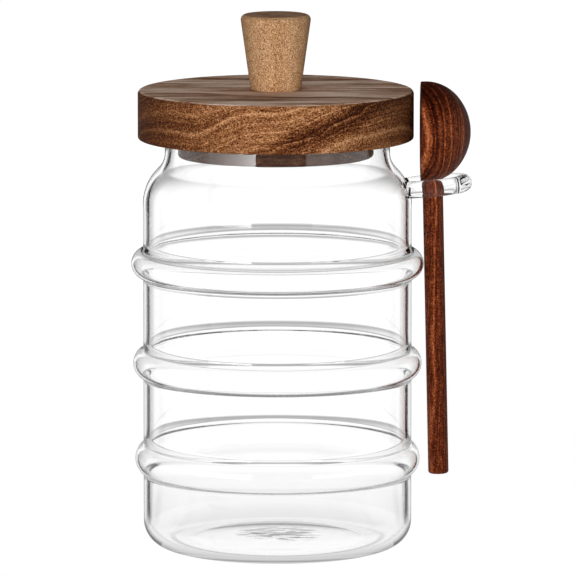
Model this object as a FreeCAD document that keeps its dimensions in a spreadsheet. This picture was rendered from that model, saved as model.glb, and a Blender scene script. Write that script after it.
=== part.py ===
import FreeCAD, Part
import math
import os

import Sketcher
from FreeCAD import Placement, Rotation, Vector

# One-litre storage jar of clear glass: three ripples run round its wall, and a glass loop
# fused to the shoulder carries a wooden spoon.  A wooden lid with a turned plug rests on
# the rim, and a tapered knob stands on the lid.  Millimetres, +Z up, origin at the centre
# of the foot.

DOC = FreeCAD.newDocument("StorageJar")
FULL_TURN = 360.0
START = 1
END = 2
CENTRE = 3
ORIGIN = (-1, 1)
SAME_PLACE = 0.01

# ---------------------------------------------------------------------------
# Driving dimensions
# ---------------------------------------------------------------------------

DIMENSIONS = [
    ("body_radius", 50.0, "outside of the straight wall"),
    ("wall", 2.0, "thickness of the blown wall"),
    ("floor_thickness", 2.4, "glass under the contents"),
    ("foot_round", 9.7, "outside round between wall and foot"),
    ("push_up", 1.6, "rise of the middle of the foot"),
    ("push_up_radius", 33.0, "foot ring starts here"),
    ("rim_height", 153.1, "top of the neck"),
    ("rim_round", 0.95, "fire-polished rim"),
    ("neck_radius", 41.8, "outside of the neck"),
    ("neck_round", 8.5, "hollow round between shoulder and neck"),
    ("shoulder_round", 18.0, "outside round of the shoulder"),
    ("shoulder_start", 128.6, "height where the wall starts to lean in"),
    ("ripple_half", 6.9, "half the height of a ripple, its hollow rounds left out"),
    ("ripple_round", 2.4, "hollow round above and below a ripple"),
    ("ripple_reach", 3.0, "depth of a ripple's section behind the face of the wall"),
    ("ripple_low", 33.0, "height of the lowest ripple"),
    ("ripple_low_swell", 3.1, "how far it stands out"),
    ("ripple_middle", 68.9, "height of the middle ripple"),
    ("ripple_middle_swell", 3.8, "how far it stands out"),
    ("ripple_high", 106.3, "height of the highest ripple"),
    ("ripple_high_swell", 4.45, "how far it stands out"),
    ("loop_rod", 6.4, "diameter of the loop's glass rod"),
    ("loop_end", 69.1, "centre line of the loop, furthest from the jar's axis"),
    ("loop_height", 136.35, "centre line of the loop, at its far end"),
    ("loop_tilt", 5.5, "the loop climbs away from the jar"),
    ("loop_half_width", 8.4, "centre line to centre line across the loop, halved"),
    ("loop_end_round", 7.4, "bend of the rod at the far end"),
    ("loop_belly", 11.7, "from the far end back to where the loop is widest"),
    ("loop_length", 22.4, "from the far end back to the ends in the wall"),
    ("lid_shift", -0.6, "the lid stands loose, a little away from the spoon"),
    ("lid_radius", 51.25, "turned wooden disc"),
    ("lid_thickness", 18.1, "turned wooden disc"),
    ("lid_top_round", 1.5, "top edge"),
    ("lid_bottom_round", 0.75, "bottom edge"),
    ("plug_radius", 36.6, "stands loose inside the neck"),
    ("plug_depth", 6.4, "hangs below the lid"),
    ("plug_round", 1.0, "bottom edge"),
    ("plug_line_depth", 2.6, "turned line below the lid"),
    ("plug_line_width", 0.7, "turned line"),
    ("knob_height", 28.1, "from the lid to its flat top"),
    ("knob_foot_radius", 9.35, "where it stands on the lid"),
    ("knob_top_radius", 13.3, "before its edge is rounded"),
    ("knob_top_round", 2.0, "top edge"),
    ("knob_foot_round", 0.4, "foot edge"),
    ("spoon_x", 55.0, "widest part of the bowl, from the jar's axis"),
    ("spoon_z", 155.4, "middle of the bowl"),
    ("bowl_radius", 18.75, "outside of the bowl"),
    ("bowl_depth", 16.8, "from the widest part to the back of the bowl"),
    ("bowl_lip", 1.85, "from the widest part forward to the rim"),
    ("bowl_edge_round", 15.6, "curve of the bowl's side near the rim"),
    ("bowl_wall", 2.4, "wood left when the bowl is hollowed"),
    ("bowl_rim_round", 0.5, "rim edges"),
    ("handle_radius", 3.8, "round handle"),
    ("handle_x", 2.65, "handle's axis behind the bowl's widest part, at its root"),
    ("handle_lean", 1.3, "the handle leans away from the jar"),
    ("handle_length", 109.7, "below the bowl"),
    ("handle_root", 1.5, "length inside the bowl's wall"),
    ("handle_end_round", 1.0, "lower end"),
    ("handle_root_round", 0.6, "where the handle leaves the bowl"),
]

SHEET = DOC.addObject("Spreadsheet::Sheet", "Sizes")
for row, (alias, value, note) in enumerate(DIMENSIONS, start=1):
    SHEET.set("A%d" % row, alias)
    SHEET.set("B%d" % row, str(value))
    SHEET.set("C%d" % row, note)
    SHEET.setAlias("B%d" % row, alias)
DOC.recompute()


def size(alias):
    """A driving dimension, read back from the sheet."""
    return float(getattr(SHEET, alias))


# ---------------------------------------------------------------------------
# Sketches: a chain of lines and arcs, each joint coincident or tangent
# ---------------------------------------------------------------------------

def new_body(label):
    body = DOC.addObject("PartDesign::Body", label)
    body.Label = label
    return body


def origin_plane(body, role):
    return next(item for item in body.Origin.OriginFeatures if item.Role == role)


class Chain:
    """Lines and arcs drawn end to end in one sketch of a body."""

    def __init__(self, body, name, role="XZ_Plane"):
        self.sketch = body.newObject("Sketcher::SketchObject", name)
        self.sketch.AttachmentSupport = (origin_plane(body, role), [""])
        self.sketch.MapMode = "FlatFace"
        self.links = []
        self.here = None

    def start(self, x, y):
        self.here = Vector(x, y, 0)

    def line(self, x, y):
        there = Vector(x, y, 0)
        index = self.sketch.addGeometry(Part.LineSegment(self.here, there), False)
        self.links.append((index, START, END))
        self.here = there
        return index

    def arc(self, x, y, radius, turn_from, turn_to):
        """An arc about (x, y), between two angles in degrees, in the chain's direction."""
        circle = Part.Circle(Vector(x, y, 0), Vector(0, 0, 1), radius)
        low, high = sorted((math.radians(turn_from), math.radians(turn_to)))
        index = self.sketch.addGeometry(Part.ArcOfCircle(circle, low, high), False)
        forward = turn_to > turn_from
        self.links.append((index, START if forward else END, END if forward else START))
        last = math.radians(turn_to)
        self.here = Vector(x + radius * math.cos(last), y + radius * math.sin(last), 0)
        return index

    def join(self, smooth=(), closed=True):
        """Join each piece to the next; the joints after the pieces in smooth are tangent."""
        count = len(self.links)
        for place in range(count if closed else count - 1):
            first, _, leaving = self.links[place]
            second, arriving, _ = self.links[(place + 1) % count]
            kind = "Tangent" if first in smooth else "Coincident"
            self.sketch.addConstraint(Sketcher.Constraint(kind, first, leaving, second, arriving))

    def add(self, kind, *places):
        self.sketch.addConstraint(Sketcher.Constraint(kind, *places))

    def bind(self, name, expression, kind, *places_and_value):
        """A named dimension that takes its value from the sheet."""
        index = self.sketch.addConstraint(Sketcher.Constraint(kind, *places_and_value))
        self.sketch.renameConstraint(index, name)
        self.sketch.setExpression("Constraints." + name, expression)


def feature(body, kind, name, sketch):
    made = body.newObject("PartDesign::" + kind, name)
    made.Profile = sketch
    sketch.Visibility = False
    return made


def turned(body, kind, chain, axis="V_Axis"):
    """Revolution or Groove of a chain round an axis of its own sketch."""
    made = feature(body, kind, chain.sketch.Name + kind, chain.sketch)
    made.ReferenceAxis = (chain.sketch, [axis])
    made.Angle = FULL_TURN
    DOC.recompute()
    return made


def circle_sketch(body, name, radius_alias):
    """One circle, lying flat, with its centre at the origin."""
    chain = Chain(body, name, "XY_Plane")
    circle = Part.Circle(Vector(0, 0, 0), Vector(0, 0, 1), size(radius_alias))
    index = chain.sketch.addGeometry(circle, False)
    chain.add("Coincident", index, CENTRE, *ORIGIN)
    chain.bind("radius", "Sizes." + radius_alias, "Radius", index, size(radius_alias))
    return chain.sketch


def round_edges(body, name, alias, wanted):
    """Fillet those edges of the body's tip that the test wanted() picks."""
    tip = body.Tip
    names = ["Edge%d" % number for number, edge in enumerate(tip.Shape.Edges, start=1) if wanted(edge)]
    made = body.newObject("PartDesign::Fillet", name)
    made.Base = (tip, names)
    made.setExpression("Radius", "Sizes." + alias)
    DOC.recompute()
    return made


def at_height(z):
    """Test for an edge that lies wholly at one height."""
    return lambda edge: (abs(edge.BoundBox.ZMin - z) < SAME_PLACE
                         and abs(edge.BoundBox.ZMax - z) < SAME_PLACE)


# ---------------------------------------------------------------------------
# Jar: a solid outside first, then the loop, then the hollow that trims both
# ---------------------------------------------------------------------------

def shoulder_rise():
    """Height and angle over which the shoulder's two rounds carry the wall to the neck."""
    inward = size("body_radius") - size("neck_radius")
    rounds = size("shoulder_round") + size("neck_round")
    across = rounds - inward
    rise = math.sqrt(rounds ** 2 - across ** 2)
    return rise, math.degrees(math.atan2(rise, across))


def draw_outside(body):
    radius = size("body_radius")
    foot = size("foot_round")
    shoulder = size("shoulder_round")
    shoulder_z = size("shoulder_start")
    neck = size("neck_radius")
    hollow = size("neck_round")
    rim = size("rim_height")
    rise, turn = shoulder_rise()

    chain = Chain(body, "Outside")
    chain.start(0, 0)
    base = chain.line(radius - foot, 0)
    corner = chain.arc(radius - foot, foot, foot, -90, 0)
    wall = chain.line(radius, shoulder_z)
    bend = chain.arc(radius - shoulder, shoulder_z, shoulder, 0, turn)
    throat = chain.arc(neck + hollow, shoulder_z + rise, hollow, 180 + turn, 180)
    neck_line = chain.line(neck, rim)
    top = chain.line(0, rim)
    axis = chain.line(0, 0)
    chain.join(smooth=(base, corner, wall, bend, throat))
    chain.add("Coincident", base, START, *ORIGIN)
    chain.add("Horizontal", base)
    chain.add("Vertical", wall)
    chain.add("Vertical", neck_line)
    chain.add("Horizontal", top)
    chain.add("Vertical", axis)
    chain.bind("foot_round", "Sizes.foot_round", "Radius", corner, foot)
    chain.bind("shoulder_round", "Sizes.shoulder_round", "Radius", bend, shoulder)
    chain.bind("neck_round", "Sizes.neck_round", "Radius", throat, hollow)
    chain.bind("body_radius", "Sizes.body_radius", "DistanceX", *ORIGIN, wall, START, radius)
    chain.bind("shoulder_start", "Sizes.shoulder_start", "DistanceY", *ORIGIN, wall, END, shoulder_z)
    chain.bind("neck_radius", "Sizes.neck_radius", "DistanceX", *ORIGIN, neck_line, END, neck)
    chain.bind("rim_height", "Sizes.rim_height", "DistanceY", *ORIGIN, neck_line, END, rim)
    return chain


def draw_hollow(body):
    """The inside of the jar, one wall thickness in from the outside."""
    wall = size("wall")
    radius = size("body_radius") - wall
    floor = size("floor_thickness")
    corner_radius = size("foot_round") - wall
    shoulder = size("shoulder_round") - wall
    shoulder_z = size("shoulder_start")
    neck = size("neck_radius") - wall
    hollow = size("neck_round") + wall
    rim = size("rim_height")
    push = size("push_up")
    ring = size("push_up_radius")
    rise, turn = shoulder_rise()
    crown = (ring ** 2 + push ** 2) / (2 * push)
    spread = math.degrees(math.asin(ring / crown))

    chain = Chain(body, "Hollow")
    chain.start(0, floor + push)
    dome = chain.arc(0, floor + push - crown, crown, 90, 90 - spread)
    flat = chain.line(radius - corner_radius, floor)
    corner = chain.arc(radius - corner_radius, floor + corner_radius, corner_radius, -90, 0)
    side = chain.line(radius, shoulder_z)
    bend = chain.arc(radius - shoulder, shoulder_z, shoulder, 0, turn)
    throat = chain.arc(neck + hollow, shoulder_z + rise, hollow, 180 + turn, 180)
    neck_line = chain.line(neck, rim)
    top = chain.line(0, rim)
    axis = chain.line(0, floor + push)
    chain.join(smooth=(flat, corner, side, bend, throat))
    chain.add("PointOnObject", dome, CENTRE, -2)
    chain.add("PointOnObject", dome, END, -2)
    chain.add("Horizontal", flat)
    chain.add("Vertical", side)
    chain.add("Vertical", neck_line)
    chain.add("Horizontal", top)
    chain.add("PointOnObject", top, END, -2)
    chain.bind("push_up", "Sizes.floor_thickness + Sizes.push_up",
               "DistanceY", *ORIGIN, axis, END, floor + push)
    chain.bind("floor", "Sizes.floor_thickness", "DistanceY", *ORIGIN, flat, START, floor)
    chain.bind("ring", "Sizes.push_up_radius", "DistanceX", *ORIGIN, flat, START, ring)
    chain.bind("corner", "Sizes.foot_round - Sizes.wall", "Radius", corner, corner_radius)
    chain.bind("side", "Sizes.body_radius - Sizes.wall",
               "DistanceX", *ORIGIN, side, START, radius)
    chain.bind("shoulder_start", "Sizes.shoulder_start", "DistanceY", *ORIGIN, side, END, shoulder_z)
    chain.bind("shoulder_round", "Sizes.shoulder_round - Sizes.wall", "Radius", bend, shoulder)
    chain.bind("neck_round", "Sizes.neck_round + Sizes.wall", "Radius", throat, hollow)
    chain.bind("neck_radius", "Sizes.neck_radius - Sizes.wall",
               "DistanceX", *ORIGIN, neck_line, END, neck)
    chain.bind("rim_height", "Sizes.rim_height", "DistanceY", *ORIGIN, neck_line, END, rim)
    return chain


def draw_push_up(body):
    """The shallow dome under the foot, which leaves the jar standing on a ring."""
    push = size("push_up")
    ring = size("push_up_radius")
    crown = (ring ** 2 + push ** 2) / (2 * push)
    spread = math.degrees(math.asin(ring / crown))
    chain = Chain(body, "PushUp")
    chain.start(0, 0)
    base = chain.line(ring, 0)
    dome = chain.arc(0, push - crown, crown, 90 - spread, 90)
    axis = chain.line(0, 0)
    chain.join()
    chain.add("Coincident", base, START, *ORIGIN)
    chain.add("Horizontal", base)
    chain.add("Vertical", axis)
    chain.add("PointOnObject", dome, CENTRE, -2)
    chain.bind("ring", "Sizes.push_up_radius", "DistanceX", base, START, base, END, ring)
    chain.bind("push_up", "Sizes.push_up", "DistanceY", axis, END, axis, START, push)
    return chain


def draw_ripple(body, which, wall_alias):
    """One ripple of the wall: a swelling between two hollow rounds.

    The inside of the ripple has the same three centres as its outside, with the wall's
    thickness taken from the swelling and added to the rounds.
    """
    thick = size(wall_alias) if wall_alias else 0.0
    cut = " - Sizes." + wall_alias if wall_alias else ""
    grow = " + Sizes." + wall_alias if wall_alias else ""
    middle = size("ripple_" + which)
    swell = size("ripple_%s_swell" % which)
    half = size("ripple_half")
    hollow = size("ripple_round")
    radius = size("body_radius")
    rounds = (swell ** 2 + half ** 2) / (2 * swell)
    bulge = rounds - hollow
    turn = math.degrees(math.asin(half / rounds))
    inside = radius - size("ripple_reach")

    chain = Chain(body, ("Inner" if wall_alias else "Outer") + "Ripple" + which.capitalize())
    chain.start(inside, middle - half)
    below = chain.line(radius - thick, middle - half)
    low = chain.arc(radius + hollow, middle - half, hollow + thick, 180, 180 - turn)
    crest = chain.arc(radius + swell - bulge, middle, bulge - thick, -turn, turn)
    high = chain.arc(radius + hollow, middle + half, hollow + thick, 180 + turn, 180)
    above = chain.line(inside, middle + half)
    back = chain.line(inside, middle - half)
    chain.join(smooth=(low, crest))
    chain.add("Horizontal", below)
    chain.add("Horizontal", above)
    chain.add("Vertical", back)
    chain.add("Horizontal", low, CENTRE, low, END)
    chain.add("Horizontal", high, CENTRE, high, START)
    chain.add("Equal", low, high)
    chain.add("Vertical", low, END, high, START)
    chain.bind("hollow", "Sizes.ripple_round" + grow, "Radius", low, hollow + thick)
    chain.bind("crest", "(Sizes.ripple_{0}_swell ^ 2 + Sizes.ripple_half ^ 2) / (2 * Sizes.ripple_{0}_swell)"
               " - Sizes.ripple_round{1}".format(which, cut), "Radius", crest, bulge - thick)
    chain.bind("face", "Sizes.body_radius" + cut, "DistanceX", *ORIGIN, low, END, radius - thick)
    chain.bind("back", "Sizes.body_radius - Sizes.ripple_reach", "DistanceX", *ORIGIN, back, END, inside)
    chain.bind("bottom", "Sizes.ripple_%s - Sizes.ripple_half" % which,
               "DistanceY", *ORIGIN, low, END, middle - half)
    chain.bind("top", "Sizes.ripple_%s + Sizes.ripple_half" % which,
               "DistanceY", *ORIGIN, high, START, middle + half)
    return chain


def add_loop(body):
    """The spoon's loop: half of the bent rod is swept from its far end, then mirrored."""
    reach = size("loop_end")
    height = size("loop_height")
    half = size("loop_half_width")
    end_round = size("loop_end_round")
    belly = size("loop_belly")
    length = size("loop_length")
    back = belly - end_round
    side_round = (half ** 2 + back ** 2 - end_round ** 2) / (2 * (half - end_round))
    turn = math.degrees(math.atan2(side_round - half, back))
    close = math.degrees(math.acos((belly - length) / side_round))

    path = Chain(body, "LoopPath", "XY_Plane")
    path.sketch.AttachmentOffset = Placement(Vector(reach, 0, height),
                                             Rotation(Vector(0, 1, 0), -size("loop_tilt")))
    path.sketch.setExpression("AttachmentOffset.Base.x", "Sizes.loop_end")
    path.sketch.setExpression("AttachmentOffset.Base.z", "Sizes.loop_height")
    path.sketch.setExpression("AttachmentOffset.Rotation.Angle", "-Sizes.loop_tilt")
    end = path.arc(-end_round, 0, end_round, 0, turn)
    side = path.arc(-belly, half - side_round, side_round, turn, close)
    path.join(smooth=(end,), closed=False)
    path.add("Coincident", end, START, *ORIGIN)
    path.add("PointOnObject", end, CENTRE, -1)
    path.bind("end_round", "Sizes.loop_end_round", "Radius", end, end_round)
    path.bind("belly", "Sizes.loop_belly", "DistanceX", side, CENTRE, *ORIGIN, belly)
    path.bind("side_round", "(Sizes.loop_half_width ^ 2 + (Sizes.loop_belly - Sizes.loop_end_round) ^ 2"
              " - Sizes.loop_end_round ^ 2) / (2 * (Sizes.loop_half_width - Sizes.loop_end_round))",
              "Radius", side, side_round)
    path.bind("length", "Sizes.loop_length", "DistanceX", side, END, *ORIGIN, length)

    section = Chain(body, "LoopSection")
    rod = size("loop_rod") / 2
    circle = section.sketch.addGeometry(
        Part.Circle(Vector(reach, height, 0), Vector(0, 0, 1), rod), False)
    section.bind("reach", "Sizes.loop_end", "DistanceX", *ORIGIN, circle, CENTRE, reach)
    section.bind("height", "Sizes.loop_height", "DistanceY", *ORIGIN, circle, CENTRE, height)
    section.bind("rod", "Sizes.loop_rod / 2", "Radius", circle, rod)
    DOC.recompute()

    arm = feature(body, "AdditivePipe", "LoopArm", section.sketch)
    arm.Spine = (path.sketch, ["Edge1", "Edge2"])
    path.sketch.Visibility = False
    DOC.recompute()

    both = body.newObject("PartDesign::Mirrored", "LoopArms")
    both.Originals = [arm]
    both.MirrorPlane = (origin_plane(body, "XZ_Plane"), [""])
    body.Tip = both
    DOC.recompute()


def build_jar():
    jar = new_body("glass_jar")
    turned(jar, "Revolution", draw_outside(jar))
    for which in ("low", "middle", "high"):
        turned(jar, "Revolution", draw_ripple(jar, which, None))
    add_loop(jar)
    turned(jar, "Groove", draw_hollow(jar))
    for which in ("low", "middle", "high"):
        turned(jar, "Groove", draw_ripple(jar, which, "wall"))
    turned(jar, "Groove", draw_push_up(jar))
    round_edges(jar, "Rim", "rim_round", at_height(size("rim_height")))
    return jar


# ---------------------------------------------------------------------------
# Lid, plug and knob: turned wood on the jar's axis
# ---------------------------------------------------------------------------

def seat_on_jar(body, height_expression):
    body.setExpression("Placement.Base.x", "Sizes.lid_shift")
    body.setExpression("Placement.Base.z", height_expression)


def build_lid():
    lid = new_body("lid")
    disc = feature(lid, "Pad", "Disc", circle_sketch(lid, "Rim", "lid_radius"))
    disc.setExpression("Length", "Sizes.lid_thickness")
    DOC.recompute()
    round_edges(lid, "TopRound", "lid_top_round", at_height(size("lid_thickness")))
    round_edges(lid, "BottomRound", "lid_bottom_round", at_height(0))
    seat_on_jar(lid, "Sizes.rim_height")
    return lid


def build_plug():
    plug = new_body("lid_plug")
    disc = feature(plug, "Pad", "Disc", circle_sketch(plug, "Edge", "plug_radius"))
    disc.setExpression("Length", "Sizes.plug_depth")
    disc.Reversed = True
    DOC.recompute()
    round_edges(plug, "BottomRound", "plug_round", at_height(-size("plug_depth")))

    radius = size("plug_radius")
    depth = size("plug_line_depth")
    width = size("plug_line_width")
    line = Chain(plug, "TurnedLine")
    circle = Part.Circle(Vector(radius, -depth, 0), Vector(0, 0, 1), width / 2)
    index = line.sketch.addGeometry(circle, False)
    line.bind("radius", "Sizes.plug_radius", "DistanceX", *ORIGIN, index, CENTRE, radius)
    line.bind("depth", "-Sizes.plug_line_depth", "DistanceY", *ORIGIN, index, CENTRE, -depth)
    line.bind("width", "Sizes.plug_line_width / 2", "Radius", index, width / 2)
    turned(plug, "Groove", line)
    seat_on_jar(plug, "Sizes.rim_height")
    return plug


def build_knob():
    foot = size("knob_foot_radius")
    top = size("knob_top_radius")
    height = size("knob_height")
    knob = new_body("lid_knob")
    chain = Chain(knob, "Taper")
    chain.start(0, 0)
    base = chain.line(foot, 0)
    side = chain.line(top, height)
    cap = chain.line(0, height)
    axis = chain.line(0, 0)
    chain.join()
    chain.add("Coincident", base, START, *ORIGIN)
    chain.add("Horizontal", base)
    chain.add("Horizontal", cap)
    chain.add("Vertical", axis)
    chain.bind("foot", "Sizes.knob_foot_radius", "DistanceX", base, START, base, END, foot)
    chain.bind("top", "Sizes.knob_top_radius", "DistanceX", cap, END, side, END, top)
    chain.bind("height", "Sizes.knob_height", "DistanceY", axis, END, axis, START, height)
    turned(knob, "Revolution", chain)
    round_edges(knob, "TopRound", "knob_top_round", at_height(height))
    round_edges(knob, "FootRound", "knob_foot_round", at_height(0))
    seat_on_jar(knob, "Sizes.rim_height + Sizes.lid_thickness")
    return knob


# ---------------------------------------------------------------------------
# Spoon: a turned and hollowed bowl on a round handle
# ---------------------------------------------------------------------------

def draw_bowl(body, name, wall_alias):
    """Half outline of the bowl about its own axis, which lies along X.

    Two rounds make it: a tight one near the rim and a wide one round the back.
    """
    thick = size(wall_alias) if wall_alias else 0.0
    cut = " - Sizes." + wall_alias if wall_alias else ""
    radius = size("bowl_radius")
    depth = size("bowl_depth")
    lip = size("bowl_lip")
    tight = size("bowl_edge_round")
    lift = radius - tight
    wide = (depth ** 2 + lift ** 2 - tight ** 2) / (2 * (depth - tight))
    turn = math.degrees(math.atan2(lift, wide - depth))
    rim_turn = math.degrees(math.acos(-lip / (tight - thick)))
    rim_edge = lift + math.sqrt((tight - thick) ** 2 - lip ** 2)

    chain = Chain(body, name)
    chain.start(-lip, 0)
    face = chain.line(-lip, rim_edge)
    shoulder = chain.arc(0, lift, tight - thick, rim_turn, turn)
    back = chain.arc(depth - wide, 0, wide - thick, turn, 0)
    axis = chain.line(-lip, 0)
    chain.join(smooth=(shoulder,))
    chain.add("PointOnObject", face, START, -1)
    chain.add("Vertical", face)
    chain.add("Horizontal", axis)
    chain.add("PointOnObject", shoulder, CENTRE, -2)
    chain.add("PointOnObject", back, CENTRE, -1)
    chain.bind("lip", "Sizes.bowl_lip", "DistanceX", face, START, *ORIGIN, lip)
    chain.bind("lift", "Sizes.bowl_radius - Sizes.bowl_edge_round",
               "DistanceY", *ORIGIN, shoulder, CENTRE, lift)
    chain.bind("tight", "Sizes.bowl_edge_round" + cut, "Radius", shoulder, tight - thick)
    chain.bind("depth", "Sizes.bowl_depth" + cut, "DistanceX", *ORIGIN, back, START, depth - thick)
    return chain


def build_spoon():
    spoon = new_body("spoon")
    turned(spoon, "Revolution", draw_bowl(spoon, "Bowl", None), "H_Axis")

    section = circle_sketch(spoon, "HandleSection", "handle_radius")
    root_z = size("handle_root") - size("bowl_radius")
    section.AttachmentOffset = Placement(Vector(size("handle_x"), 0, root_z),
                                         Rotation(Vector(0, 1, 0), -size("handle_lean")))
    section.setExpression("AttachmentOffset.Base.x", "Sizes.handle_x")
    section.setExpression("AttachmentOffset.Base.z", "Sizes.handle_root - Sizes.bowl_radius")
    section.setExpression("AttachmentOffset.Rotation.Angle", "-Sizes.handle_lean")
    handle = feature(spoon, "Pad", "Handle", section)
    handle.Reversed = True
    handle.setExpression("Length", "Sizes.handle_length + Sizes.handle_root")
    DOC.recompute()

    root_low = -size("bowl_radius")
    root_high = root_low + size("handle_radius")
    round_edges(spoon, "RootRound", "handle_root_round",
                lambda edge: root_low < edge.BoundBox.ZMin and edge.BoundBox.ZMax < root_high)
    end_high = spoon.Tip.Shape.BoundBox.ZMin + size("handle_end_round")
    round_edges(spoon, "EndRound", "handle_end_round", lambda edge: edge.BoundBox.ZMax < end_high)
    turned(spoon, "Groove", draw_bowl(spoon, "BowlHollow", "bowl_wall"), "H_Axis")
    rim_x = -size("bowl_lip")
    round_edges(spoon, "RimRound", "bowl_rim_round",
                lambda edge: abs(edge.BoundBox.XMax - rim_x) < SAME_PLACE)
    spoon.setExpression("Placement.Base.x", "Sizes.spoon_x")
    spoon.setExpression("Placement.Base.z", "Sizes.spoon_z")
    return spoon


# ---------------------------------------------------------------------------
# Build, test and write each piece
# ---------------------------------------------------------------------------

PIECES = [build_jar(), build_lid(), build_plug(), build_knob(), build_spoon()]
DOC.recompute()

for item in DOC.Objects:
    if "Invalid" in item.State or "Error" in item.State:
        raise RuntimeError("%s did not build: %s" % (item.Name, item.State))
for piece in PIECES:
    if piece.Shape.isNull() or not piece.Shape.isValid():
        raise RuntimeError("%s is not a sound solid" % piece.Label)
    if len(piece.Shape.Solids) != 1:
        raise RuntimeError("%s is %d solids" % (piece.Label, len(piece.Shape.Solids)))

os.makedirs("parts", exist_ok=True)
for piece in PIECES:
    piece.Shape.exportStep("parts/%s.step" % piece.Label)
    box = piece.Shape.BoundBox
    print("%-10s %9.1f mm3  x %.1f..%.1f  y %.1f..%.1f  z %.1f..%.1f"
          % (piece.Label, piece.Shape.Volume, box.XMin, box.XMax,
             box.YMin, box.YMax, box.ZMin, box.ZMax))
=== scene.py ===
# %% [markdown]
# # A glass storage jar with a wooden lid and a hanging spoon
#
# The jar is blown from clear glass: its wall is two millimetres thick, three ripples run
# round it, and a bent glass rod fused to the shoulder makes a loop for the spoon.  A turned
# lid lies loose on the rim, its plug hangs inside the neck, and a tapered knob stands on it.
#
# The construction model gives every piece its real size and place.  It is loaded first and
# stays fixed: this lesson gives the pieces their finish and draws the glass afresh, because
# clear glass shows every facet of a mesh.

# %% Load the frame
import math

import bmesh
import bpy
import numpy as np
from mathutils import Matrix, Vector


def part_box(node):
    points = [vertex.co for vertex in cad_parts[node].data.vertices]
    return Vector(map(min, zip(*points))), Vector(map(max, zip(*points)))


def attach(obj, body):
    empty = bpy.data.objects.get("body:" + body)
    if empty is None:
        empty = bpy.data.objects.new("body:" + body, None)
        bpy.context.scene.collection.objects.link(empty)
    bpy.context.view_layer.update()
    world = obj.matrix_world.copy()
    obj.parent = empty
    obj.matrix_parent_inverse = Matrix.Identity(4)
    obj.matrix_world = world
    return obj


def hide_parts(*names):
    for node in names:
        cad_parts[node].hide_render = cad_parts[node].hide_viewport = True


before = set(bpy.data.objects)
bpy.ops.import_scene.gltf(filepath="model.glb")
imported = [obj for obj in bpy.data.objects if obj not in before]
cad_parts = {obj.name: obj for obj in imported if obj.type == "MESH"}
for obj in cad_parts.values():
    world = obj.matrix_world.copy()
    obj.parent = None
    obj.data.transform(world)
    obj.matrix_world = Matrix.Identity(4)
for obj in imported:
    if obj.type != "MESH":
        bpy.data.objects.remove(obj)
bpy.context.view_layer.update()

MM = 0.001
print("nodes:", sorted(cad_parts))

# %% [markdown]
# ## Nodes written as sums
#
# A shader's maths is easier to read as a sum than as a net of wires.  `Wire` holds one output
# socket; adding, multiplying or comparing wires makes the Math nodes.  `Graph` holds a tree
# and has one method that adds any node: its settings come first, then its sockets' values.

# %% Wires and graphs
class Wire:
    """An output socket that can be used in a sum."""

    def __init__(self, graph, socket):
        self.graph = graph
        self.socket = socket

    def apply(self, operation, *values):
        """A Math node on the given wires and numbers."""
        return self.graph.node("ShaderNodeMath", {"operation": operation}, enumerate(values))

    def __add__(self, other):
        return self.apply("ADD", self, other)

    def __sub__(self, other):
        return self.apply("SUBTRACT", self, other)

    def __rsub__(self, other):
        return self.apply("SUBTRACT", other, self)

    def __mul__(self, other):
        return self.apply("MULTIPLY", self, other)

    def __truediv__(self, other):
        return self.apply("DIVIDE", self, other)

    def __rtruediv__(self, other):
        return self.apply("DIVIDE", other, self)

    def __pow__(self, other):
        return self.apply("POWER", self, other)

    __radd__ = __add__
    __rmul__ = __mul__

    def root(self):
        return self.apply("SQRT", self)

    def over(self, other):
        """The larger of two values."""
        return self.apply("MAXIMUM", self, other)

    def fade(self, low, high, first=0.0, last=1.0):
        """A soft step: first below low, last above high."""
        places = {"Value": self, "From Min": low, "From Max": high, "To Min": first, "To Max": last}
        return self.graph.node("ShaderNodeMapRange", {"interpolation_type": "SMOOTHSTEP"}, places)

    def at_least(self, count):
        """1 where a whole number has reached the count, 0 below it."""
        return self.fade(count - 0.6, count - 0.4)


class Graph:
    """A node tree, filled by one method."""

    def __init__(self, tree):
        self.tree = tree

    def node(self, kind, settings=(), sockets=(), output=0):
        """Adds a node, sets it up, and gives one of its outputs as a wire."""
        made = self.tree.nodes.new(kind)
        for name, value in dict(settings).items():
            if name == "stops":
                self.set_stops(made.color_ramp, value)
            else:
                setattr(made, name, value)
        for name, value in dict(sockets).items():
            if isinstance(value, Wire):
                self.tree.links.new(value.socket, made.inputs[name])
            else:
                made.inputs[name].default_value = value
        if not made.outputs:
            return made
        return Wire(self, made.outputs[output])

    def set_stops(self, ramp, stops):
        while len(ramp.elements) < len(stops):
            ramp.elements.new(0.5)
        for element, (place, colour) in zip(ramp.elements, stops):
            element.position = place
            element.color = (*colour, 1.0)

    def blend(self, share, first, second, mode="MIX"):
        """Two colours through a Mix node."""
        places = {0: share, 6: first, 7: second}
        return self.node("ShaderNodeMix", {"data_type": "RGBA", "blend_type": mode}, places, 2)

    def noise(self, vector, scale, detail=2.0, rough=0.5):
        places = {"Vector": vector, "Scale": scale, "Detail": detail, "Roughness": rough}
        return self.node("ShaderNodeTexNoise", {}, places)

    def parts(self, vector):
        """The x, y and z of a vector."""
        split = self.node("ShaderNodeSeparateXYZ", {}, {0: vector})
        return [Wire(self, socket) for socket in split.socket.node.outputs]

    def vector(self, x, y, z):
        return self.node("ShaderNodeCombineXYZ", {}, {0: x, 1: y, 2: z})


def shade(srgb):
    """A colour read in display values from 0 to 255, as the linear colour a shader takes."""
    return tuple((value / 255.0) ** 2.2 for value in srgb)


def material_graph(name):
    """A new material whose tree holds only its output."""
    material = bpy.data.materials.new(name)
    material.use_nodes = True
    for node in list(material.node_tree.nodes):
        material.node_tree.nodes.remove(node)
    return material, Graph(material.node_tree)


print("nodes can be written as sums")

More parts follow.
